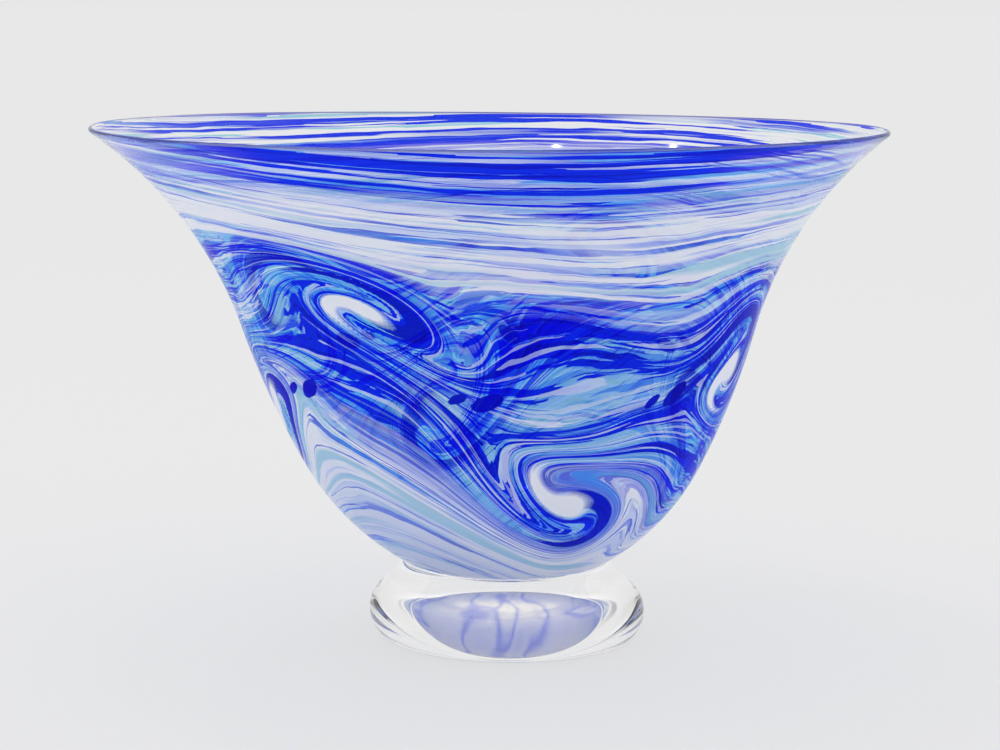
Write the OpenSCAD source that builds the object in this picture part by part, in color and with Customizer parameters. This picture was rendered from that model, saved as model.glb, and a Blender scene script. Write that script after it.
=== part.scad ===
// Footed bowl of blown glass. A clear gather forms the inside of the wall, a
// thin coat of coloured glass is fused round it, and a clear disc foot carries
// the bowl. The coat is four bands of colour with round opal eyes and cobalt
// chips melted flush into the widest band. Lengths are in millimetres, +Z is up
// and the origin is the centre of the foot where it meets the table.

/* [Bowl] */
// Diameter across the outside of the rim
rim_d = 280; // [272:1:288]
// Height of the rim above the table
rim_h = 184; // [178:1:190]
// Slope of the wall where it leaves the foot
joint_slope = 30; // [27:1:33]
// Slope where the belly curve turns into the side
belly_slope = 62; // [60:1:64]
// Slope where the side turns into the flare
side_slope = 73; // [72:1:75]
// Slope of the wall at the rim
rim_slope = 37; // [34:1:40]
// Radius of the belly curve above the foot
belly_r = 90; // [86:1:94]

/* [Wall] */
// Thickness of the whole wall at the rim
wall_t = 3.4; // [2.8:0.1:4.4]
// Thickness of the coloured coat
coat_t = 1.2; // [0.8:0.1:1.6]
// Thickness of the glass at the middle of the floor
floor_t = 9; // [7:0.5:11]

/* [Foot] */
// Diameter of the ring where the bowl leaves the foot
joint_d = 74; // [70:1:77]
// Height of that ring above the table
joint_h = 28; // [27:0.5:30]
// Largest diameter of the foot
foot_d = 100; // [98:1:106]
// Radius of the rounded edge of the foot
foot_edge_r = 8.5; // [7.5:0.5:9]
// Slope of the top of the foot where it leaves the rounded edge
foot_top_slope = 40; // [36:1:44]

/* [Colour bands] */
// Height of the top of the opal cup round the foot
cup_h = 60; // [54:1:64]
// Height of the top of the cobalt belly
belly_h = 134; // [130:1:140]
// Height of the top of the opal shoulder
shoulder_h = 166; // [160:1:170]

/* [Eyes and chips] */
// Direction of the first eye of the upper row, seen from above
eye_turn = -115; // [-130:1:-100]
// Height of the upper row of eyes
upper_eye_h = 118; // [114:1:122]
// Height of the lower row of eyes
lower_eye_h = 78; // [76:1:84]
// Diameter of an opal eye
eye_d = 13; // [9:0.5:16]
// Diameter of a cobalt chip
chip_d = 9; // [6:0.5:11]

/* [Hidden] */
$fa = 2;
$fs = 0.6;
clear = [0.93, 0.95, 0.97, 0.45];
cobalt = [0.05, 0.10, 0.72];
opal = [0.88, 0.90, 0.98];
lavender = [0.62, 0.66, 0.93];
aqua_white = [0.72, 0.82, 0.95];
joint_r = joint_d / 2;
far = rim_d;
// Largest turn between two points of a curve in section
curve_step = 2.5;
// Eyes in the two rows together, and as many chips between them
eye_count = 8;
eye_step = 360 / eye_count;
chip_h = (upper_eye_h + lower_eye_h) / 2;

// Unit vector square to the wall at a slope, pointing into the bowl
function inward(a) = [-sin(a), cos(a)];

// Points of a round curve that turns from slope a to slope b, without the first.
// A curve with a negative radius hollows in instead of bulging out.
function curve(centre, radius, a, b) =
    let (n = ceil(abs(b - a) / curve_step))
    [for (k = [1:n]) centre - radius * inward(a + (b - a) * k / n)];

function reversed(points) = [for (k = [len(points) - 1:-1:0]) points[k]];

// Step along r and along z of a curve of radius 1 that turns from slope a to b
function reach(a, b) = [abs(sin(b) - sin(a)), abs(cos(b) - cos(a))];

// Radii of two curves that together reach from one point to another, d apart,
// where p and q are the reach of each curve at radius 1
function two_radii(d, p, q) =
    [d[0] * q[1] - d[1] * q[0], d[1] * p[0] - d[0] * p[1]] / (p[0] * q[1] - q[0] * p[1]);

// Round lip, and the point where the outer face of the wall meets it
lip_r = wall_t / 2;
lip_at = [rim_d / 2 - lip_r, rim_h - lip_r];
rim_at = lip_at - lip_r * inward(rim_slope);
// Slope of the lip where the seam between coat and gather comes out
seam_slope = rim_slope + acos(1 - coat_t / lip_r);

// Outer face: cap under the bowl, belly, side and flare, each tangent to the next
joint_at = [joint_r, joint_h];
belly_at = joint_at + belly_r * reach(joint_slope, belly_slope);
outer_radii = two_radii(rim_at - belly_at, reach(belly_slope, side_slope), reach(side_slope, rim_slope));
cap_r = joint_r / sin(joint_slope);
side_r = outer_radii[0];
flare_r = outer_radii[1];
flare_at = belly_at + side_r * reach(belly_slope, side_slope);
cap_centre = joint_at + cap_r * inward(joint_slope);
belly_centre = joint_at + belly_r * inward(joint_slope);
side_centre = belly_at + side_r * inward(belly_slope);
flare_centre = flare_at - flare_r * inward(side_slope);

// Inner face: round floor, side and the same flare, with the glass thickest at the floor
floor_z = cap_centre[1] - cap_r + floor_t;
inner_flare_at = flare_at + wall_t * inward(side_slope);
inner_radii = two_radii(inner_flare_at - [0, floor_z], reach(0, belly_slope), reach(belly_slope, side_slope));
floor_r = inner_radii[0];
inner_side_r = inner_radii[1];
inner_side_at = [0, floor_z] + floor_r * reach(0, belly_slope);
inner_side_centre = inner_side_at + inner_side_r * inward(belly_slope);

// Foot: rounded edge, then a hollow curve up to the ring where the bowl sits
edge_at = [foot_d / 2 - foot_edge_r, foot_edge_r];
edge_slope = 180 - foot_top_slope;
hollow_at = edge_at - foot_edge_r * inward(edge_slope);
hollow_chord = joint_at - hollow_at;
hollow_turn = 2 * (edge_slope - atan2(hollow_chord[1], hollow_chord[0]));
hollow_r = norm(hollow_chord) / (2 * sin(hollow_turn / 2));
hollow_centre = hollow_at - hollow_r * inward(edge_slope);

// Outer face of the wall in section, pared inwards by t
function cap_points(t) = concat([cap_centre - [0, cap_r - t]], curve(cap_centre, cap_r - t, 0, joint_slope));
function outer_points(t) = concat(
    cap_points(t),
    curve(belly_centre, belly_r - t, joint_slope, belly_slope),
    curve(side_centre, side_r - t, belly_slope, side_slope),
    curve(flare_centre, -flare_r - t, side_slope, rim_slope)
);

// Inner face of the wall in section
inner_points = concat(
    [[0, floor_z]],
    curve([0, floor_z + floor_r], floor_r, 0, belly_slope),
    curve(inner_side_centre, inner_side_r, belly_slope, side_slope),
    curve(flare_centre, -flare_r - wall_t, side_slope, rim_slope)
);

// Ring of the coloured coat between two heights
module coat_band(z_low, z_high) {
    rotate_extrude() intersection() {
        polygon(concat(
            outer_points(0),
            curve(lip_at, lip_r, rim_slope, seam_slope),
            reversed(outer_points(coat_t))
        ));
        translate([0, z_low]) square([far, z_high - z_low]);
    }
}

// Height of eye i, which alternates between the two rows
function eye_h(i) = i % 2 == 1 ? upper_eye_h : lower_eye_h;

// Rod that points out from the axis and cuts one round spot out of the coat
module spot_rod(turn, z, d) {
    rotate(turn) translate([joint_r, 0, z]) rotate([0, 90, 0]) cylinder(d = d, h = far);
}

module eye_rod(i) {
    spot_rod(eye_turn + (i - 1) * eye_step, eye_h(i), eye_d);
}

module chip_rod(i) {
    spot_rod(eye_turn + (i - 0.5) * eye_step, chip_h, chip_d);
}

// Clear disc foot, hollowed on top to take the round underside of the bowl
module foot() {
    color(clear) rotate_extrude() polygon(concat(
        [[0, 0], [edge_at[0], 0]],
        curve(edge_at, foot_edge_r, 0, edge_slope),
        curve(hollow_centre, -hollow_r, edge_slope, edge_slope - hollow_turn),
        reversed([for (k = [0:len(cap_points(0)) - 2]) cap_points(0)[k]])
    ));
}

// Clear gather that forms the inside of the wall and the floor
module inner_gather() {
    color(clear) rotate_extrude() polygon(concat(
        outer_points(coat_t),
        [lip_at - lip_r * inward(seam_slope)],
        curve(lip_at, lip_r, seam_slope, rim_slope + 180),
        reversed([for (k = [0:len(inner_points) - 2]) inner_points[k]])
    ));
}

// Pale band round the bottom of the bowl, over the foot joint
module opal_cup() {
    color(lavender) coat_band(0, cup_h);
}

// Widest band, with a pocket for each eye and chip
module cobalt_belly() {
    color(cobalt) difference() {
        coat_band(cup_h, belly_h);
        for (i = [1:eye_count]) {
            eye_rod(i);
            chip_rod(i);
        }
    }
}

// Pale band under the flare
module opal_shoulder() {
    color(aqua_white) coat_band(belly_h, shoulder_h);
}

// Dark band under the rim
module cobalt_collar() {
    color(cobalt) coat_band(shoulder_h, rim_h);
}

// White eye in the middle of a curl
module opal_eye(i) {
    color(opal) intersection() {
        coat_band(cup_h, belly_h);
        eye_rod(i);
    }
}

// Dark chip between two curls
module cobalt_chip(i) {
    color(cobalt) intersection() {
        coat_band(cup_h, belly_h);
        chip_rod(i);
    }
}

foot();
inner_gather();
opal_cup();
cobalt_belly();
opal_shoulder();
cobalt_collar();
for (i = [1:eye_count]) {
    opal_eye(i);
    cobalt_chip(i);
}
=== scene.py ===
"""Dresses the footed swirl-glass bowl: the coloured wall, the clear foot and a plain studio."""

import math

import bpy
import numpy as np
from mathutils import Matrix, Vector


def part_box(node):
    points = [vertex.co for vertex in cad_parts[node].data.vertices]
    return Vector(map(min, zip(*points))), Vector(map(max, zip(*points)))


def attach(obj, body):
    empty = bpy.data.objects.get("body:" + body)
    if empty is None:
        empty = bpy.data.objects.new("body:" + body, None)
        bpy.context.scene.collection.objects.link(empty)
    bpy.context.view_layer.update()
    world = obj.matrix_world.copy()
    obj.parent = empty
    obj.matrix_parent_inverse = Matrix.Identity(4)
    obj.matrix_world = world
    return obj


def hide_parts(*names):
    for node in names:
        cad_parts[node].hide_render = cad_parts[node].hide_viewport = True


bl_info = {
    "name": "Swirl glass bowl",
    "version": (1, 0, 0),
    "blender": (4, 5, 0),
    "location": "3D View > Sidebar > Bowl",
    "description": "Builds a footed bowl of blown glass with a swirled colour coat",
    "category": "Add Mesh",
}

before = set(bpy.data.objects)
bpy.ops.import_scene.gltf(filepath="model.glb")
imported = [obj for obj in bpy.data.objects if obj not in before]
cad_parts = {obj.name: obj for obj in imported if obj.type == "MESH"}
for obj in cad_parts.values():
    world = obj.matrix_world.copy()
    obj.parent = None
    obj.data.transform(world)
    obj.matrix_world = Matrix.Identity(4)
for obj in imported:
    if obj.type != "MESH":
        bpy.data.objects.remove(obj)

MM = 0.001
# Numbers of the curls, and of the chips between them
CURLS = range(1, 9)
EYES = [f"opal_eye_{i}" for i in CURLS]
CHIPS = [f"cobalt_chip_{i}" for i in CURLS]
BANDS = ["opal_cup", "cobalt_belly", "opal_shoulder", "cobalt_collar"]


class BowlSizes(bpy.types.PropertyGroup):
    """Sizes of the bowl's section, then of the finer and hand-made forms of its foot and rim."""

    joint_slope: bpy.props.FloatProperty(
        name="Joint slope",
        description="Slope of the wall at the foot",
        default=math.radians(30),
        subtype="ANGLE",
    )
    belly_slope: bpy.props.FloatProperty(
        name="Belly slope",
        description="Slope where belly meets side",
        default=math.radians(62),
        subtype="ANGLE",
    )
    side_slope: bpy.props.FloatProperty(
        name="Side slope",
        description="Slope where side meets flare",
        default=math.radians(73),
        subtype="ANGLE",
    )
    rim_slope: bpy.props.FloatProperty(
        name="Rim slope",
        description="Slope of the wall at the rim",
        default=math.radians(37),
        subtype="ANGLE",
    )
    belly_radius: bpy.props.FloatProperty(
        name="Belly radius",
        description="Radius of the belly curve",
        default=90 * MM,
        unit="LENGTH",
    )
    joint_radius: bpy.props.FloatProperty(
        name="Joint radius",
        description="Radius of the ring on the foot",
        default=37 * MM,
        unit="LENGTH",
    )
    wall: bpy.props.FloatProperty(
        name="Wall",
        description="Thickness of the wall below the flare",
        default=3.4 * MM,
        unit="LENGTH",
    )
    lip: bpy.props.FloatProperty(
        name="Lip",
        description="Thickness of the fire-polished lip",
        default=2.0 * MM,
        unit="LENGTH",
    )
    floor: bpy.props.FloatProperty(
        name="Floor",
        description="Thickness of the glass at the floor",
        default=9 * MM,
        unit="LENGTH",
    )
    foot_corner: bpy.props.FloatProperty(
        name="Foot corner",
        description="Radius of the corner at the table",
        default=3 * MM,
        unit="LENGTH",
    )
    foot_edge: bpy.props.FloatProperty(
        name="Foot edge",
        description="Radius of the rounded edge above it",
        default=11 * MM,
        unit="LENGTH",
    )
    foot_side_slope: bpy.props.FloatProperty(
        name="Foot side slope",
        description="Slope where corner meets edge",
        default=math.radians(40),
        subtype="ANGLE",
    )
    foot_top_slope: bpy.props.FloatProperty(
        name="Foot top slope",
        description="Slope above the edge",
        default=math.radians(40),
        subtype="ANGLE",
    )
    base_hollow: bpy.props.FloatProperty(
        name="Base hollow",
        description="Rise of the hollow underside, without the facet",
        default=7.5 * MM,
        unit="LENGTH",
    )
    pontil_radius: bpy.props.FloatProperty(
        name="Pontil radius",
        description="Radius of the polished facet",
        default=20 * MM,
        unit="LENGTH",
    )
    pontil_depth: bpy.props.FloatProperty(
        name="Pontil depth",
        description="Depth of the polished facet",
        default=1.6 * MM,
        unit="LENGTH",
    )
    lean: bpy.props.FloatProperty(
        name="Lean",
        description="How far the rim stands left of the foot",
        default=7 * MM,
        unit="LENGTH",
    )
    lean_height: bpy.props.FloatProperty(
        name="Lean height",
        description="Height that the lean leaves in place",
        default=70 * MM,
        unit="LENGTH",
    )
    left_flare: bpy.props.FloatProperty(
        name="Left flare",
        description="How far the rim flares more on the left",
        default=1.8 * MM,
        unit="LENGTH",
    )
    rim_lift: bpy.props.FloatProperty(
        name="Rim lift",
        description="How far the rim is drawn up",
        default=1.2 * MM,
        unit="LENGTH",
    )


class GlassColours(bpy.types.PropertyGroup):
    """Colours of the glass and of the studio."""

    deep: bpy.props.FloatVectorProperty(
        name="Deep cobalt",
        description="Darkest streaks",
        default=(0.000004, 0.0003, 0.46),
        subtype="COLOR",
    )
    cobalt: bpy.props.FloatVectorProperty(
        name="Cobalt",
        description="Main blue",
        default=(0.000004, 0.0013, 0.86),
        subtype="COLOR",
    )
    sky: bpy.props.FloatVectorProperty(
        name="Sky",
        description="Light see-through blue",
        default=(0.03, 0.23, 0.96),
        subtype="COLOR",
    )
    ice: bpy.props.FloatVectorProperty(
        name="Ice",
        description="Lightest see-through blue",
        default=(0.18, 0.56, 1.00),
        subtype="COLOR",
    )
    lavender: bpy.props.FloatVectorProperty(
        name="Lavender",
        description="Where white lies over blue",
        default=(0.35, 0.43, 0.92),
        subtype="COLOR",
    )
    periwinkle: bpy.props.FloatVectorProperty(
        name="Periwinkle",
        description="Blue under thin white",
        default=(0.10, 0.155, 0.78),
        subtype="COLOR",
    )
    aqua: bpy.props.FloatVectorProperty(
        name="Aqua",
        description="Green-blue streaks",
        default=(0.15, 0.55, 0.74),
        subtype="COLOR",
    )
    opal: bpy.props.FloatVectorProperty(
        name="Opal",
        description="Milky white",
        default=(0.88, 0.90, 0.96),
        subtype="COLOR",
    )
    pale: bpy.props.FloatVectorProperty(
        name="Pale",
        description="Thin white over the blue",
        default=(0.66, 0.74, 0.97),
        subtype="COLOR",
    )
    haze: bpy.props.FloatVectorProperty(
        name="Haze",
        description="Milky blue round the bottom",
        default=(0.30, 0.45, 0.90),
        subtype="COLOR",
    )
    # Milky glass over the foot, partly painted light: lighter and warmer than the swirl, it stands in for
    # light scattered down into the foot
    joint: bpy.props.FloatVectorProperty(
        name="Joint",
        description="Milky glass over the foot",
        default=(0.98, 0.93, 0.86),
        subtype="COLOR",
    )
    lip: bpy.props.FloatVectorProperty(
        name="Lip",
        description="Edge of the rim",
        default=(0.14, 0.14, 0.40),
        subtype="COLOR",
    )
    clear: bpy.props.FloatVectorProperty(
        name="Clear",
        description="Glass without colour",
        default=(0.93, 0.95, 1.00),
        subtype="COLOR",
    )
    backdrop: bpy.props.FloatVectorProperty(
        name="Backdrop",
        description="Pale floor",
        default=(0.79, 0.79, 0.795),
        subtype="COLOR",
    )


def inward(slope):
    """Unit vector square to the wall at a slope, pointing into the bowl."""
    return np.array([-math.sin(slope), math.cos(slope)])


def reach(start, end):
    """Step along r and z of a curve of radius 1 that turns from one slope to another."""
    return np.array([abs(math.sin(end) - math.sin(start)), abs(math.cos(end) - math.cos(start))])


def two_radii(step, first, second):
    """Radii of two curves that together cover a step, from the reach of each at radius 1."""
    return np.linalg.solve(np.column_stack([first, second]), step)


def curve(centre, radius, start, end, spacing):
    """Points of a round curve between two slopes, without the first. A negative radius hollows in."""
    count = max(2, math.ceil(abs(radius * (end - start)) / spacing))
    slopes = start + (end - start) * np.arange(1, count + 1) / count
    return centre - radius * np.column_stack([-np.sin(slopes), np.cos(slopes)])


class Outline:
    """The wall and the foot in section, as points (r, z) in metres."""

    outer_spacing = 1.3 * MM
    inner_spacing = 4.0 * MM
    lip_spacing = 0.5 * MM
    foot_spacing = 0.8 * MM
    base_points = 40
    # Share of the base's radius that is hollow
    hollow_share = 0.97
    # How far the colours run on over the lip
    lip_rise = 2.0 * MM

    def __init__(self, sizes):
        foot_low, foot_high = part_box("foot")
        rim_low, rim_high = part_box("cobalt_collar")
        self.joint = np.array([sizes.joint_radius, foot_high[2]])
        self.foot_radius = (foot_high[0] - foot_low[0]) / 2
        self.rim_radius = (rim_high[0] - rim_low[0]) / 2
        self.rim_height = rim_high[2]
        self.outer_curves(sizes)
        self.inner_curves(sizes)
        self.foot_curve(sizes)

    def outer_curves(self, sizes):
        """Cap under the bowl, then belly, side and flare up to the rim, and the round lip."""
        joint, belly, side, rim = sizes.joint_slope, sizes.belly_slope, sizes.side_slope, sizes.rim_slope
        lip_r = sizes.lip / 2
        lip = np.array([self.rim_radius - lip_r, self.rim_height - lip_r])
        rim_at = lip - lip_r * inward(rim)
        belly_r = sizes.belly_radius
        belly_at = self.joint + belly_r * reach(joint, belly)
        side_r, self.flare_r = two_radii(rim_at - belly_at, reach(belly, side), reach(side, rim))
        self.flare_at = belly_at + side_r * reach(belly, side)
        self.flare_centre = self.flare_at - self.flare_r * inward(side)
        cap_r = self.joint[0] / math.sin(joint)
        cap_centre = self.joint + cap_r * inward(joint)
        step = self.outer_spacing
        self.cap = np.vstack([cap_centre - [0, cap_r], curve(cap_centre, cap_r, 0, joint, step)])
        self.side = np.vstack(
            [
                curve(self.joint + belly_r * inward(joint), belly_r, joint, belly, step),
                curve(belly_at + side_r * inward(belly), side_r, belly, side, step),
                curve(self.flare_centre, -self.flare_r, side, rim, step),
            ]
        )
        self.lip = curve(lip, lip_r, rim, rim + math.pi, self.lip_spacing)

    def inner_curves(self, sizes):
        """Round floor, side and flare inside the bowl, listed from the lip down."""
        belly, side, step = sizes.belly_slope, sizes.side_slope, self.inner_spacing
        floor = np.array([0, self.cap[0, 1] + sizes.floor])
        flare_at = self.flare_at + sizes.wall * inward(side)
        floor_r, side_r = two_radii(flare_at - floor, reach(0, belly), reach(belly, side))
        side_at = floor + floor_r * reach(0, belly)
        rising = np.vstack(
            [
                floor,
                curve(floor + [0, floor_r], floor_r, 0, belly, step),
                curve(side_at + side_r * inward(belly), side_r, belly, side, step),
                self.thinned_flare(sizes, step),
            ]
        )
        self.inside = rising[::-1]

    def thinned_flare(self, sizes, step):
        """Inner face of the flare, where the wall thins out towards the lip."""
        radius = self.flare_r + sizes.wall
        flare = curve(self.flare_centre, -radius, sizes.side_slope, sizes.rim_slope, step)[:-1]
        outward = self.flare_centre - flare
        outward /= np.linalg.norm(outward, axis=1)[:, None]
        taper = np.linspace(0, 1, len(flare))[:, None] ** 2
        return flare + outward * (sizes.wall - sizes.lip) * taper

    def foot_curve(self, sizes):
        """Hollow base, corner at the table, rounded edge, and the hollow curve up to the joint."""
        corner_r, edge_r, side = sizes.foot_corner, sizes.foot_edge, sizes.foot_side_slope
        turn = math.pi - sizes.foot_top_slope
        edge = np.array([self.foot_radius - edge_r, corner_r + (edge_r - corner_r) * math.cos(side)])
        corner = edge - (edge_r - corner_r) * inward(side)
        start = edge - edge_r * inward(turn)
        chord = self.joint - start
        hollow = 2 * (turn - math.atan2(chord[1], chord[0]))
        hollow_r = np.linalg.norm(chord) / (2 * math.sin(hollow / 2))
        base_r = self.hollow_share * corner[0] * np.linspace(0, 1, self.base_points)
        base_z = sizes.base_hollow * (1 - (base_r / base_r[-1]) ** 2)
        base_z += sizes.pontil_depth * np.clip(1 - (base_r / sizes.pontil_radius) ** 2, 0, 1)
        step = self.foot_spacing
        self.foot_side = np.vstack(
            [
                np.column_stack([base_r, base_z]),
                corner - [0, corner_r],
                curve(corner, corner_r, 0, side, step / 2),
                curve(edge, edge_r, side, turn, step),
                curve(start - hollow_r * inward(turn), -hollow_r, turn, turn - hollow, step),
            ]
        )

    def outer_points(self):
        return np.vstack([self.cap, self.side])

    def wall_points(self):
        return np.vstack([self.outer_points(), self.lip, self.inside])

    def foot_points(self):
        return np.vstack([self.foot_side, self.cap[-2::-1]])

    def height(self):
        """Distance up the outer face from the foot joint to the lip."""
        return np.linalg.norm(np.diff(np.vstack([self.cap[-1], self.side]), axis=0), axis=1).sum()

    def lengths(self):
        """Distance up the outer face from the foot joint, at each point of wall_points()."""
        outer = self.outer_points()
        steps = np.linalg.norm(np.diff(outer, axis=0), axis=1)
        outer_length = np.concatenate([[0], np.cumsum(steps)])
        outer_length -= outer_length[len(self.cap) - 1]
        gap = np.linalg.norm(self.inside[:, None] - outer[None], axis=2)
        inner_length = outer_length[gap.argmin(axis=1)]
        over = np.sin(np.linspace(0, math.pi, len(self.lip)))
        lip_length = outer_length[-1] + self.lip_rise * over
        return np.concatenate([outer_length, lip_length, inner_length])


class HandMade:
    """The lean of the bowl, its wider flare on the left and the slight waves of its rim."""

    out_of_round = 0.003
    lobes = 3
    lobe_turn = 0.8
    dip = 0.5 * MM
    dips = 2
    dip_turn = 2.2
    # Powers that keep the flare and the lift near the rim
    flare_power = 5
    lift_power = 3

    def __init__(self, outline, sizes):
        self.foot_height = outline.joint[1]
        self.rim_height = outline.rim_height
        self.sizes = sizes

    def bend(self, at):
        """Gives points of the true turned form their hand-made places."""
        sizes = self.sizes
        rise = np.clip((at[:, 2] - self.foot_height) / (self.rim_height - self.foot_height), 0, 1)
        around = np.arctan2(at[:, 0], -at[:, 1])
        at = at.copy()
        at[:, 0] -= sizes.lean * (at[:, 2] - sizes.lean_height) / self.rim_height
        lobe = np.sin(self.lobes * around + self.lobe_turn)
        at[:, :2] *= (1 + self.out_of_round * rise * lobe)[:, None]
        flare = sizes.left_flare * rise**self.flare_power * (1 - np.sin(around)) / 2
        at[:, 0] -= flare
        at[:, 2] -= flare / 2
        dip = self.dip * np.sin(self.dips * around + self.dip_turn)
        at[:, 2] += rise**self.lift_power * (sizes.rim_lift - dip)
        return at


def angles_round(turns):
    """Angles of the points of one ring. Angle 0 is the front, and the first is at the back."""
    return np.arange(turns) / turns * 2 * math.pi - math.pi


def placed(name, data):
    """A new object in the scene, of a mesh, a lamp or a camera."""
    made = bpy.data.objects.new(name, data)
    bpy.context.collection.objects.link(made)
    return made


def turned_faces(rings, turns):
    """Faces between rings of points, then those round the first and the last point on the axis."""
    here = np.arange(turns)
    ahead = (here + 1) % turns
    faces = []
    for ring in range(rings - 1):
        low, high = ring * turns, (ring + 1) * turns
        faces += np.column_stack([low + here, low + ahead, high + ahead, high + here]).tolist()
    first, last = rings * turns, rings * turns + 1
    top = (rings - 1) * turns
    faces += np.column_stack([np.full(turns, first), ahead, here]).tolist()
    faces += np.column_stack([np.full(turns, last), top + here, top + ahead]).tolist()
    return faces


def lathe(name, points, turns, bend):
    """A closed mesh turned from points (r, z) that start and end on the axis, then bent."""
    rows = points[1:-1]
    angles = angles_round(turns)
    ring = np.column_stack([np.sin(angles), -np.cos(angles)])
    body = np.empty((len(rows), turns, 3))
    body[:, :, :2] = rows[:, 0][:, None, None] * ring[None]
    body[:, :, 2] = rows[:, 1][:, None]
    ends = [[0, 0, points[0, 1]], [0, 0, points[-1, 1]]]
    at = bend(np.vstack([body.reshape(-1, 3), ends]))
    faces = turned_faces(len(rows), turns)
    mesh = bpy.data.meshes.new(name)
    mesh.from_pydata(at.tolist(), [], faces)
    mesh.polygons.foreach_set("use_smooth", np.ones(len(faces), dtype=bool))
    mesh.update()
    return placed(name, mesh)


def store(mesh, name, values):
    """Keeps one number or one vector for each point of a mesh."""
    kind, field = ("FLOAT", "value") if values.ndim == 1 else ("FLOAT_VECTOR", "vector")
    layer = mesh.attributes.new(name, kind, "POINT")
    layer.data.foreach_set(field, values.astype(np.float32).ravel())


def wrapped(angle):
    """The same angle between -pi and pi."""
    return (angle + math.pi) % (2 * math.pi) - math.pi


def turned(across, along, angle):
    """The same places, turned about their origin."""
    return across * np.cos(angle) - along * np.sin(angle), across * np.sin(angle) + along * np.cos(angle)


def spot(across, along, extent, size=1.0):
    """An oval spot with soft edges, 1 in its middle."""
    return np.exp(-((across / extent[0]) ** 2 + (along / extent[1]) ** 2) / size)


def spot_places(names, outline):
    """Angle round the bowl and distance up its face of each named solid."""
    outer = outline.outer_points()
    up = outline.lengths()[: len(outer)]
    places = []
    for name in names:
        low, high = (np.array(corner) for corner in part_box(name))
        middle = (low + high) / 2
        places.append((math.atan2(middle[0], -middle[1]), np.interp(middle[2], outer[:, 1], up)))
    return places


class Swirl:
    """How the colour streaks flow: in long waves round the bowl, then wound up at each curl."""

    reference_radius = 90 * MM
    # Waves and ripples of the streaks on the belly
    belly_spread = 45 * MM
    wave = 5 * MM
    waves = 4
    wave_turn = math.radians(10)
    wave_sway = 0.8
    sway_turn = 2.0
    ripple = 4 * MM
    ripples = 7
    ripple_rise = 13 * MM
    # Diagonal sweep of everything below the shoulder
    sweep = 19 * MM
    sweeps = 2
    sweep_turn = math.radians(-10)
    sweep_top = 118 * MM
    sweep_fade = 12 * MM
    # Slow drifts of the whole swirl: how many round the bowl, height and turn
    drifts = ((1, 5 * MM, 1.0), (2, 3 * MM, 0.6), (3, 2 * MM, 2.0))
    # Curls, each with an opal eye and a dark hook in it
    curl_turn = math.radians(245)
    curl_radius = 17 * MM
    curl_stretch = 1.35
    lower_curl = 1.3
    size_spread = 0.15
    size_step = 2.4
    size_start = 0.5
    eye_extent = (12 * MM, 6 * MM)
    eye_shift = 6 * MM
    hook_extent = (13 * MM, 6 * MM)
    hook_shift = 13 * MM
    # Dark chips between the curls, each with a smaller fleck beside it
    chip_extent = (6.0 * MM, 2.8 * MM)
    chip_tilt = 0.4
    tilt_spread = 0.3
    tilt_step = 1.9
    fleck_size = 0.6
    fleck_shift = 9 * MM
    fleck_rise = 5 * MM

    def __init__(self, outline):
        self.curls = spot_places(EYES, outline)
        self.chips = spot_places(CHIPS, outline)
        self.middle = np.mean([up for _, up in self.curls])

    def waved(self, angle, length):
        """Distance up the wall with the waves, the sweep and the drifts in it."""
        belly = np.exp(-(((length - self.middle) / self.belly_spread) ** 2))
        sway = self.wave_sway * np.sin(angle + self.sway_turn)
        length = length + self.wave * belly * np.sin(self.waves * angle + self.wave_turn + sway)
        length += self.ripple * belly * np.sin(self.ripples * angle + length / self.ripple_rise)
        below = 1 / (1 + np.exp((length - self.sweep_top) / self.sweep_fade))
        length += self.sweep * below * np.sin(self.sweeps * angle + self.sweep_turn)
        for count, height, turn in self.drifts:
            length += height * np.sin(count * angle + turn)
        return length

    def flow(self, angle, length):
        """Streak coordinates (angle, length), and the eye and hook fields, at points on the wall."""
        length = self.waved(angle, length)
        eye, hook = np.zeros_like(angle), np.zeros_like(angle)
        for index, (turn, up) in enumerate(self.curls):
            way, size = (1, 1.0) if index % 2 == 0 else (-1, self.lower_curl)
            size *= 1 + self.size_spread * math.sin(self.size_step * index + self.size_start)
            across = wrapped(angle - turn) * self.reference_radius / self.curl_stretch
            along = length - up
            far = np.hypot(across, along)
            twist = way * self.curl_turn * np.exp(-((far / (self.curl_radius * size)) ** 2))
            across, along = turned(across, along, twist)
            eye = np.maximum(eye, spot(across - self.eye_shift, along, self.eye_extent, size))
            hook = np.maximum(hook, spot(across + self.hook_shift, along, self.hook_extent, size))
            angle = turn + across * self.curl_stretch / self.reference_radius
            length = up + along
        return angle, length, eye, hook

    def chip_field(self, angle, length):
        """Where the chips and their flecks are, at points on the wall."""
        field = np.zeros_like(angle)
        for index, (turn, up) in enumerate(self.chips):
            tilt = self.chip_tilt + self.tilt_spread * math.sin(self.tilt_step * index)
            across = wrapped(angle - turn) * self.reference_radius
            across, along = turned(across, length - up, -tilt)
            field = np.maximum(field, spot(across, along, self.chip_extent))
            across = (across + self.fleck_shift) / self.fleck_size
            along = (along - self.fleck_rise) / self.fleck_size
            field = np.maximum(field, spot(across, along, self.chip_extent))
        return field


def rgba(value):
    """A colour with its alpha, from a colour or from one number for a grey."""
    colour = tuple(value) if hasattr(value, "__len__") else (value,) * 3
    return (*colour, 1.0)


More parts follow.
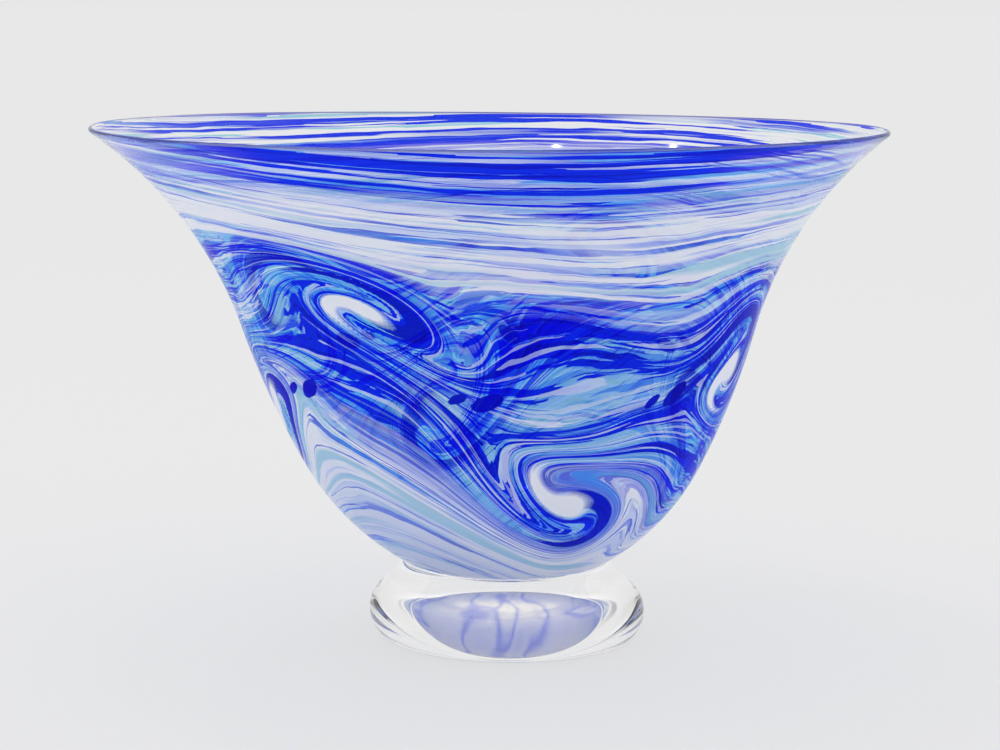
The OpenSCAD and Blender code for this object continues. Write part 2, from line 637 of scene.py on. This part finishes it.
class Nodes:
    """Short forms for the nodes of a material or a world."""

    streak_roughness = 0.55
    fray_detail = 2.0
    feather_detail = 1.0
    # Places of a Mix node's colour sockets
    mix_first = 6
    mix_second = 7
    mix_result = 2

    def __init__(self, owner, output):
        owner.use_nodes = True
        self.tree = owner.node_tree
        self.tree.nodes.clear()
        self.output = self.node(output)

    def node(self, kind):
        return self.tree.nodes.new("ShaderNode" + kind)

    def link(self, source, target):
        self.tree.links.new(source, target)

    def put(self, socket, value):
        """Links a socket to another one, or sets it to a constant."""
        if isinstance(value, bpy.types.NodeSocket):
            self.link(value, socket)
        else:
            socket.default_value = value

    def attribute(self, name, output):
        node = self.node("Attribute")
        node.attribute_name = name
        return node.outputs[output]

    def parts(self, vector):
        """The three coordinates of a vector."""
        node = self.node("SeparateXYZ")
        self.link(vector, node.inputs[0])
        return node.outputs

    def maths(self, operation, *values):
        node = self.node("Math")
        node.operation = operation
        for socket, value in zip(node.inputs, values):
            self.put(socket, value)
        return node.outputs[0]

    def add(self, first, second):
        return self.maths("ADD", first, second)

    def less(self, first, second):
        return self.maths("SUBTRACT", first, second)

    def times(self, first, second):
        return self.maths("MULTIPLY", first, second)

    def most(self, first, second):
        return self.maths("MAXIMUM", first, second)

    def centred(self, value, depth, middle=0.5):
        """A value moved so that its middle is 0, and scaled to a depth."""
        return self.maths("MULTIPLY_ADD", value, depth, -depth * middle)

    def blend(self, first, second, shares):
        """Two values added up by their shares."""
        return self.maths("MULTIPLY_ADD", first, shares[0], self.times(second, shares[1]))

    def span(self, value, source, target):
        """A value spread evenly from one span over another."""
        node = self.node("MapRange")
        for socket, number in zip(node.inputs, (value, *source, *target)):
            self.put(socket, number)
        return node.outputs[0]

    def vector(self, operation, first, second):
        node = self.node("VectorMath")
        node.operation = operation
        for socket, value in zip(node.inputs, (first, second)):
            self.put(socket, value)
        return node.outputs[0]

    def texture(self, kind, vector, scale):
        """A texture stretched by a scale along each coordinate."""
        node = self.node(kind)
        self.link(self.vector("MULTIPLY", vector, scale), node.inputs["Vector"])
        node.inputs["Scale"].default_value = 1.0
        return node

    def streaks(self, vector, scale, detail):
        """Soft streaks, between 0 and 1."""
        noise = self.texture("TexNoise", vector, scale)
        noise.inputs["Detail"].default_value = detail
        noise.inputs["Roughness"].default_value = self.streak_roughness
        return noise.outputs["Fac"]

    def frayed(self, vector, scale, depth):
        """The flow with its streaks' edges made uneven to a depth."""
        noise = self.streaks(vector, scale, self.fray_detail)
        join = self.node("CombineXYZ")
        self.link(self.centred(noise, depth), join.inputs["Z"])
        return self.vector("ADD", vector, join.outputs[0])

    def feathered(self, vector, scale, depth):
        """The flow with the ends of its streaks drawn out to a depth along them."""
        noise = self.texture("TexNoise", vector, scale)
        noise.inputs["Detail"].default_value = self.feather_detail
        centred = self.vector("SUBTRACT", noise.outputs["Color"], (0.5, 0.5, 0.5))
        return self.vector("ADD", vector, self.vector("MULTIPLY", centred, (depth, depth, 0.0)))

    def strands(self, vector, scale):
        """One value for each of many long strands, between 0 and 1."""
        cells = self.texture("TexVoronoi", vector, scale)
        split = self.node("SeparateColor")
        self.link(cells.outputs["Color"], split.inputs[0])
        return split.outputs[0]

    def ramp(self, factor, stops):
        """A value or colour that runs from stop to stop, each a place and what is there."""
        node = self.node("ValToRGB")
        elements = node.color_ramp.elements
        while len(elements) < len(stops):
            elements.new(1.0)
        for element, (place, value) in zip(elements, stops):
            element.position = place
            element.color = rgba(value)
        self.put(node.inputs[0], factor)
        return node.outputs[0]

    def mix(self, factor, first, second):
        node = self.node("Mix")
        node.data_type = "RGBA"
        self.put(node.inputs["Factor"], factor)
        for place, value in ((self.mix_first, first), (self.mix_second, second)):
            self.put(node.inputs[place], value if isinstance(value, bpy.types.NodeSocket) else rgba(value))
        return node.outputs[self.mix_result]


class Finish(Nodes):
    """The nodes of one material."""

    coat_roughness = 0.05

    def __init__(self, name):
        self.material = bpy.data.materials.new(name)
        super().__init__(self.material, "OutputMaterial")

    def surface(self, node):
        self.link(node.outputs[0], self.output.inputs["Surface"])

    def principled(self, **values):
        node = self.node("BsdfPrincipled")
        for name, value in values.items():
            self.put(node.inputs[name.replace("_", " ")], value)
        self.surface(node)
        return node


class SwirlGlass(Finish):
    """Streaks of opal and cobalt glass: clear where they are blue and milky where they are white.

    A scale says how many streaks lie on a metre, along the flow twice and then across it.
    Levels run from 0 at the foot joint to 1 at the lip, and shades from 0, dark, to 1, light.
    """

    ior = 1.04
    frost = 0.03
    coat = 0.1
    # Uneven edges and drawn-out ends of the streaks, as scale and depth
    edge_fray = ((55, 55, 190), 2.4 * MM)
    stroke_fray = ((30, 30, 85), 7 * MM)
    stroke_draw = ((30, 30, 650), 60 * MM)
    thread_draw = ((12, 12, 600), 200 * MM)
    # Soft streaks, as scale and detail
    broad_streaks = ((6, 6, 45), 1.0)
    soft_streaks = ((9, 9, 150), 2.0)
    patch_streaks = ((11, 11, 32), 1.0)
    aqua_streaks = ((6, 6, 170), 1.0)
    # Scales of the strands, and the shares of coarse and fine ones
    thread_scale = (8, 8, 260)
    line_scale = (7, 7, 330)
    fine_thread_scale = (10, 10, 620)
    stroke_scale = (32, 32, 190)
    fine_stroke_scale = (54, 54, 480)
    hair_scale = (36, 36, 850)
    thread_shares = (0.54, 0.36)
    line_shares = (0.5, 0.4)
    stroke_shares = (0.55, 0.35)
    cloud_depth = 0.5
    cloud_middle = 0.45
    # How far the streaks run over the edges of the zones
    zone_drift = 0.14
    zone_weave = 0.15
    thread_middle = 0.45
    # Zones by level: how much pale glass covers the blue, the collar and the haze at the bottom
    pale_cup = ((0.0, 1.0), (0.24, 1.0), (0.32, 0.0))
    pale_shoulder = ((0.71, 0.0), (0.77, 1.0), (0.87, 1.0), (0.91, 0.0), (0.97, 0.0))
    collar_zone = ((0.86, 0.0), (0.90, 1.0))
    haze_zone = ((0.0, 0.40), (0.09, 0.30), (0.24, 0.0))
    # The collar's clear far side, and the pale glass at its two ends, a painted sheen where the wall is
    # seen edge-on
    far_side = ((0.30, 0.0), (0.45, 1.0))
    painted_collar_sheen = ((0.5, 0.0), (0.95, 0.9))
    end_power = 3.0
    # What makes the shades darker or lighter from place to place
    # Painted sheen: the belly a little darker towards front and back than at its sides, which look paler
    # as obliquely seen glass does
    painted_side_sheen = ((0.5, 0.04), (0.9, 0.0))
    belly_light = ((0.70, 0.0), (0.95, 0.15))
    collar_dark = 0.1
    rim_dark = ((0.6, 0.0), (1.0, 0.12))
    rim_light = ((0.6, 0.0), (0.95, 0.15))
    cup_light = ((0.0, 0.06), (0.03, 0.10), (0.14, 0.12), (0.30, 0.06))
    shoulder_light = ((0.66, 0.0), (0.74, 0.11), (0.87, 0.11), (0.91, 0.0))
    # Colour of the glass by its shade
    blues = (
        (0.16, "deep"), (0.22, "cobalt"), (0.48, "cobalt"), (0.50, "sky"), (0.58, "sky"), (0.61, "ice"),
        (0.71, "ice"), (0.73, "aqua"), (0.78, "aqua"), (0.81, "ice"), (0.92, "opal"),
    )
    collar_blues = (
        (0.16, "deep"), (0.22, "cobalt"), (0.48, "cobalt"), (0.50, "sky"), (0.56, "sky"),
        (0.58, "periwinkle"), (0.64, "lavender"), (0.74, "pale"), (0.78, "ice"), (0.92, "opal"),
    )
    pales = (
        (0.18, "sky"), (0.22, "periwinkle"), (0.32, "periwinkle"), (0.35, "lavender"),
        (0.42, "pale"), (0.52, "pale"), (0.54, "opal"),
    )
    rim_colours = (
        (0.40, "cobalt"), (0.42, "periwinkle"), (0.47, "pale"), (0.52, "clear"), (0.66, "clear"),
        (0.68, "aqua"), (0.73, "aqua"), (0.80, "opal"),
    )
    aqua_tint = ((0.57, 0.0), (0.63, 0.6))
    # Clearness of the glass by its shade
    blue_clear = ((0.78, 0.9), (0.82, 0.8), (0.92, 0.4))
    pale_clear = ((0.20, 0.6), (0.24, 0.4), (0.35, 0.25), (0.42, 0.15), (0.54, 0.1))
    rim_clear = ((0.69, 1.0), (0.80, 0.5))
    # Fine pale hairs on the belly, the edges of the spots, and how clear each of them is
    hair_edge = ((0.88, 0.0), (0.91, 0.75))
    hair_clear = 0.3
    hook_edge = ((0.36, 0.0), (0.46, 1.0))
    hook_clear = 0.9
    eye_edge = ((0.35, 0.0), (0.62, 1.0))
    eye_clear = 0.05
    chip_edge = ((0.36, 0.0), (0.40, 1.0))
    chip_rough = 0.4
    chip_clear = 0.9
    lip_clear = 0.8

    def __init__(self, name, colours, height):
        super().__init__(name)
        self.colours = colours
        self.flow = self.attribute("flow", "Vector")
        self.find_streaks()
        self.find_zones(height)
        self.find_shades()
        self.lay_bands()
        self.lay_spots()
        self.principled(
            Base_Color=self.colour,
            Transmission_Weight=self.clear,
            Roughness=self.frost,
            IOR=self.ior,
            Coat_Weight=self.coat,
            Coat_Roughness=self.coat_roughness,
        )

    def find_streaks(self):
        """Strands and soft streaks of every width, and the clouds between them."""
        self.edged = self.frayed(self.flow, *self.edge_fray)
        self.brushed = self.feathered(self.frayed(self.edged, *self.stroke_fray), *self.stroke_draw)
        drawn = self.feathered(self.edged, *self.thread_draw)
        fine = self.strands(drawn, self.fine_thread_scale)
        self.threads = self.blend(self.strands(drawn, self.thread_scale), fine, self.thread_shares)
        self.lines = self.blend(self.strands(drawn, self.line_scale), fine, self.line_shares)
        fine = self.strands(self.brushed, self.fine_stroke_scale)
        self.strokes = self.blend(self.strands(self.brushed, self.stroke_scale), fine, self.stroke_shares)
        self.soft = self.streaks(self.flow, *self.soft_streaks)
        patches = self.streaks(self.flow, *self.patch_streaks)
        soft_cloud = self.centred(self.soft, self.cloud_depth, self.cloud_middle)
        self.clouds = self.add(soft_cloud, self.centred(patches, self.cloud_depth, self.cloud_middle))

    def find_zones(self, height):
        """Where pale glass covers the blue, where the collar is, and which way a place faces."""
        side, back, up = self.parts(self.flow)
        half = 0.5 / Swirl.reference_radius
        self.level = self.maths("DIVIDE", up, height)
        self.behind = self.maths("MULTIPLY_ADD", back, half, 0.5)
        self.leftward = self.maths("MULTIPLY_ADD", side, -half, 0.5)
        self.beside = self.times(self.maths("ABSOLUTE", side), 2 * half)
        drift = self.centred(self.streaks(self.flow, *self.broad_streaks), self.zone_drift)
        weave = self.centred(self.threads, self.zone_weave, self.thread_middle)
        ragged = self.add(self.level, self.add(drift, weave))
        self.collar = self.ramp(self.level, self.collar_zone)
        self.far_rim = self.times(self.collar, self.ramp(self.behind, self.far_side))
        # Painted sheen: pale glass over the collar's two ends, where the wall is seen edge-on
        ends = self.maths("POWER", self.ramp(self.beside, self.painted_collar_sheen), self.end_power)
        pale = self.ramp(ragged, self.pale_cup + self.pale_shoulder)
        self.cover = self.most(pale, self.times(self.collar, ends))

    def find_shades(self):
        """How light the streaks of the blue glass, of the pale glass and of the far rim are."""
        # Painted sheen: the belly's shade drops towards front and back, so that its sides look paler
        belly = self.less(self.strokes, self.ramp(self.beside, self.painted_side_sheen))
        belly = self.add(belly, self.ramp(self.leftward, self.belly_light))
        collar = self.less(self.lines, self.collar_dark)
        self.blue_shade = self.add(self.mix(self.collar, belly, collar), self.clouds)
        rim = self.less(self.add(self.lines, self.clouds), self.ramp(self.behind, self.rim_dark))
        self.rim_shade = self.add(rim, self.ramp(self.leftward, self.rim_light))
        light = self.ramp(self.level, self.cup_light + self.shoulder_light)
        self.pale_shade = self.add(self.add(self.threads, self.clouds), light)

    def palette(self, shade, stops):
        """The colour of the glass at a shade, from stops with the names of colours."""
        return self.ramp(shade, [(place, getattr(self.colours, name)) for place, name in stops])

    def lay_bands(self):
        """Lays the blue and the pale glass, aqua streaks over them and a haze at the bottom."""
        collar_blue = self.palette(self.blue_shade, self.collar_blues)
        blue = self.mix(self.collar, self.palette(self.blue_shade, self.blues), collar_blue)
        colour = self.mix(self.cover, blue, self.palette(self.pale_shade, self.pales))
        colour = self.mix(self.far_rim, colour, self.palette(self.rim_shade, self.rim_colours))
        aqua = self.ramp(self.streaks(self.edged, *self.aqua_streaks), self.aqua_tint)
        colour = self.mix(self.times(self.cover, aqua), colour, self.colours.aqua)
        self.colour = self.mix(self.ramp(self.level, self.haze_zone), colour, self.colours.haze)
        pale_clear = self.ramp(self.pale_shade, self.pale_clear)
        clear = self.mix(self.cover, self.ramp(self.blue_shade, self.blue_clear), pale_clear)
        self.clear = self.mix(self.far_rim, clear, self.ramp(self.rim_shade, self.rim_clear))

    def paint(self, where, colour, clear):
        """Lays glass of one colour and clearness over what is there."""
        self.colour = self.mix(where, self.colour, colour)
        self.clear = self.mix(where, self.clear, clear)

    def lay_spots(self):
        """Lays the pale hairs, the hooks and eyes of the curls, the chips and the edge of the lip."""
        colours = self.colours
        belly = self.less(1.0, self.most(self.cover, self.collar))
        hair = self.ramp(self.strands(self.brushed, self.hair_scale), self.hair_edge)
        self.paint(self.times(hair, belly), colours.pale, self.hair_clear)
        eye, chip, hook = self.parts(self.attribute("spots", "Vector"))
        self.paint(self.ramp(hook, self.hook_edge), colours.deep, self.hook_clear)
        self.paint(self.ramp(eye, self.eye_edge), colours.opal, self.eye_clear)
        rough = self.centred(self.soft, self.chip_rough)
        self.paint(self.ramp(self.add(chip, rough), self.chip_edge), colours.deep, self.chip_clear)
        self.paint(self.attribute("lip", "Fac"), colours.lip, self.lip_clear)


class FusedSwirlGlass(SwirlGlass):
    """The swirled glass where it lies on the foot: frosted, with soft folds and a milky middle, partly
    painted light that stands in for light the opal scatters down into the foot.
    """

    ior = 1.25
    frost = 0.6
    least_clear = 0.5
    milky_painted_light = ((0.0, 0.1), (0.45, 0.95))
    fold_draw = ((40, 40, 40), 24 * MM)
    fold_streaks = ((70, 24, 40), 1.0)
    fold_lines = ((0.42, 0.0), (0.47, 0.7), (0.51, 0.0))
    faint_folds = ((0.55, 0.0), (0.59, 0.3), (0.63, 0.0))

    def lay_spots(self):
        super().lay_spots()
        self.clear = self.most(self.clear, self.least_clear)
        # Painted light: the middle of the face on the foot turns milky, light and warm, in place of light
        # the opal scatters down into the foot
        middle = self.ramp(self.attribute("inwards", "Fac"), self.milky_painted_light)
        self.colour = self.mix(middle, self.colour, self.colours.joint)
        wound = self.feathered(self.node("TexCoord").outputs["Object"], *self.fold_draw)
        folds = self.ramp(self.streaks(wound, *self.fold_streaks), self.fold_lines + self.faint_folds)
        self.colour = self.mix(folds, self.colour, self.colours.periwinkle)


def clear_glass(name, ior, coat=0.0):
    """Polished glass without colour."""
    finish = Finish(name)
    finish.principled(
        Base_Color=rgba(1.0),
        Transmission_Weight=1.0,
        Roughness=0.0,
        IOR=ior,
        Coat_Weight=coat,
        Coat_Roughness=finish.coat_roughness,
    )
    return finish.material


def fused_joint(name):
    """The hidden face of a fused joint, which light passes unbent."""
    finish = Finish(name)
    through = finish.node("BsdfTransparent")
    finish.put(through.inputs["Color"], rgba(1.0))
    finish.surface(through)
    return finish.material


class GLASS_OT_wall(bpy.types.Operator):
    """Turns the bowl's wall and lays the swirled colours on it"""

    bl_idname = "glass.wall"
    bl_label = "Bowl wall"

    turns = 380
    inner_ior = 1.04
    inner_coat = 0.2

    def execute(self, context):
        sizes, colours = context.scene.bowl_sizes, context.scene.glass_colours
        outline = Outline(sizes)
        wall = lathe("bowl_wall", outline.wall_points(), self.turns, HandMade(outline, sizes).bend)
        self.lay_fields(wall.data, outline)
        self.lay_glass(wall.data, outline, colours)
        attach(wall, "root")
        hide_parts("inner_gather", *BANDS, *EYES, *CHIPS)
        return {"FINISHED"}

    def lay_fields(self, mesh, outline):
        """Keeps on each point how the colours flow there, and where the spots, lip and foot are."""
        lengths = outline.lengths()
        rows = lengths[1:-1]
        length = np.concatenate([np.repeat(rows, self.turns), lengths[[0, -1]]])
        angle = np.concatenate([np.tile(angles_round(self.turns), len(rows)), [0, 0]])
        swirl = Swirl(outline)
        flow_angle, flow_length, eye, hook = swirl.flow(angle, length)
        ring = swirl.reference_radius * np.column_stack([np.sin(flow_angle), -np.cos(flow_angle)])
        lip = np.zeros(len(angle))
        crest = len(outline.cap) + len(outline.side) + len(outline.lip) // 2 - 1
        lip[(crest - 1) * self.turns : (crest + 1) * self.turns] = 1.0
        store(mesh, "flow", np.column_stack([ring, flow_length]))
        store(mesh, "spots", np.column_stack([eye, swirl.chip_field(angle, length), hook]))
        store(mesh, "lip", lip)
        store(mesh, "inwards", np.clip(length / lengths[0], 0, 1))

    def lay_glass(self, mesh, outline, colours):
        """Gives the outer face, the face on the foot and the inner face their own glass."""
        height = outline.height()
        mesh.materials.append(SwirlGlass("swirl_glass", colours, height).material)
        mesh.materials.append(FusedSwirlGlass("swirl_on_foot", colours, height).material)
        mesh.materials.append(clear_glass("inner_glass", self.inner_ior, self.inner_coat))
        on_foot, inside = 1, 2
        cap_rows = len(outline.cap) - 2
        outer_rows = len(outline.cap) + len(outline.side) + len(outline.lip) - 2
        slots = np.zeros(len(mesh.polygons), dtype=np.int32)
        slots[: cap_rows * self.turns] = on_foot
        slots[outer_rows * self.turns :] = inside
        # The faces round the lower end of the axis are the last but one ring
        slots[-2 * self.turns : -self.turns] = on_foot
        mesh.polygons.foreach_set("material_index", slots)


class GLASS_OT_foot(bpy.types.Operator):
    """Turns the clear disc foot"""

    bl_idname = "glass.foot"
    bl_label = "Foot"

    turns = 200
    ior = 1.5

    def execute(self, context):
        sizes = context.scene.bowl_sizes
        outline = Outline(sizes)
        foot = lathe("foot_disc", outline.foot_points(), self.turns, HandMade(outline, sizes).bend)
        foot.data.materials.append(clear_glass("clear_glass", self.ior))
        foot.data.materials.append(fused_joint("fused_joint"))
        under_bowl = 1
        side_rows = len(outline.foot_side) - 2
        slots = np.zeros(len(foot.data.polygons), dtype=np.int32)
        slots[side_rows * self.turns : -2 * self.turns] = under_bowl
        slots[-self.turns :] = under_bowl
        foot.data.polygons.foreach_set("material_index", slots)
        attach(foot, "root")
        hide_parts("foot")
        return {"FINISHED"}


class GLASS_OT_stage(bpy.types.Operator):
    """Sets up the pale floor, the soft light and the camera"""

    bl_idname = "glass.stage"
    bl_label = "Studio"

    floor_size = 600.0
    floor_gap = 0.3 * MM
    floor_roughness = 0.9
    floor_glow = 0.80
    far_light = 0.8
    # Light of the sky by its height and by its side towards the camera
    sky_heights = (0.3, 0.85)
    sky_light = (0.81, 1.38)
    sky_sides = (-0.9, -0.1)
    side_light = (0.65, 1.0)
    lamps = (("lamp_left", (-0.401, 0.411, 1.118)), ("lamp_right", (-0.173, 0.140, 1.253)))
    lamp_size = 0.018
    lamp_power = 0.7
    lamp_aim = (0, 0, 0.1)
    camera_at = (-0.00094, -0.884, 0.2247)
    camera_pitch = math.radians(8.372)
    camera_roll = math.radians(0.53)
    lens = 89.3
    sensor = 36.0

    def execute(self, context):
        self.lay_floor(context.scene.glass_colours.backdrop)
        self.light_sky(context.scene)
        for name, at in self.lamps:
            self.hang_lamp(name, Vector(at))
        self.place_camera(context.scene)
        return {"FINISHED"}

    def lay_floor(self, colour):
        half = self.floor_size / 2
        low = -self.floor_gap
        corners = [(-half, -half, low), (half, -half, low), (half, half, low), (-half, half, low)]
        mesh = bpy.data.meshes.new("floor")
        mesh.from_pydata(corners, [], [(0, 1, 2, 3)])
        mesh.materials.append(self.pale_floor(colour))
        floor = placed("floor", mesh)

    def pale_floor(self, colour):
        """A matt floor that takes shadows, and looks evenly pale to the camera and in the glass."""
        finish = Finish("pale_floor")
        lit = finish.principled(
            Base_Color=rgba(colour), Roughness=self.floor_roughness, Specular_IOR_Level=0.0
        )
        glow = finish.node("Emission")
        finish.put(glow.inputs["Color"], rgba(colour))
        path = finish.node("LightPath").outputs
        seen = finish.most(path["Is Camera Ray"], path["Is Glossy Ray"])
        seen = finish.most(seen, path["Is Transmission Ray"])
        either = finish.node("MixShader")
        finish.put(either.inputs["Fac"], finish.times(seen, self.floor_glow))
        finish.link(lit.outputs[0], either.inputs[1])
        finish.link(glow.outputs[0], either.inputs[2])
        finish.surface(either)
        return finish.material

    def light_sky(self, scene):
        """A soft sky, brightest overhead and dimmer towards the camera, with an even backdrop."""
        scene.world = bpy.data.worlds.new("studio")
        sky = Nodes(scene.world, "OutputWorld")
        _, back, up = sky.parts(sky.node("TexCoord").outputs["Generated"])
        above = sky.span(up, self.sky_heights, self.sky_light)
        nearer = sky.span(back, self.sky_sides, self.side_light)
        far = sky.node("Mix")
        sky.put(far.inputs["Factor"], sky.node("LightPath").outputs["Is Camera Ray"])
        sky.put(far.inputs["A"], sky.times(above, nearer))
        sky.put(far.inputs["B"], self.far_light)
        background = sky.node("Background")
        sky.put(background.inputs["Color"], rgba(1.0))
        sky.put(background.inputs["Strength"], far.outputs["Result"])
        sky.link(background.outputs[0], sky.output.inputs["Surface"])

    def hang_lamp(self, name, at):
        """A small round lamp over the bowl, which shows as a bright spot in the glass."""
        lamp = bpy.data.lights.new(name, "AREA")
        lamp.shape = "DISK"
        lamp.size = self.lamp_size
        lamp.energy = self.lamp_power
        holder = placed(name, lamp)
        holder.location = at
        holder.rotation_euler = (Vector(self.lamp_aim) - at).to_track_quat("-Z", "Y").to_euler()

    def place_camera(self, scene):
        data = bpy.data.cameras.new("camera")
        data.sensor_width = self.sensor
        data.lens = self.lens
        camera = placed("camera", data)
        tilt = Matrix.Rotation(math.pi / 2 - self.camera_pitch, 4, "X")
        roll = Matrix.Rotation(self.camera_roll, 4, "Z")
        camera.matrix_world = Matrix.Translation(self.camera_at) @ tilt @ roll
        scene.camera = camera
        scene.view_settings.view_transform = "Standard"


class VIEW3D_PT_bowl(bpy.types.Panel):
    """Lists the pieces of the bowl"""

    bl_label = "Swirl glass bowl"
    bl_idname = "VIEW3D_PT_bowl"
    bl_space_type = "VIEW_3D"
    bl_region_type = "UI"
    bl_category = "Bowl"

    def draw(self, context):
        for operator in OPERATORS:
            self.layout.operator(operator.bl_idname)


OPERATORS = (GLASS_OT_wall, GLASS_OT_foot, GLASS_OT_stage)
CLASSES = (BowlSizes, GlassColours, *OPERATORS, VIEW3D_PT_bowl)


def register():
    for cls in CLASSES:
        bpy.utils.register_class(cls)
    bpy.types.Scene.bowl_sizes = bpy.props.PointerProperty(type=BowlSizes)
    bpy.types.Scene.glass_colours = bpy.props.PointerProperty(type=GlassColours)


def unregister():
    del bpy.types.Scene.glass_colours
    del bpy.types.Scene.bowl_sizes
    for cls in reversed(CLASSES):
        bpy.utils.unregister_class(cls)


def main():
    register()
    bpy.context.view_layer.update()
    bpy.ops.glass.wall()
    bpy.ops.glass.foot()
    bpy.ops.glass.stage()


if __name__ == "__main__":
    main()
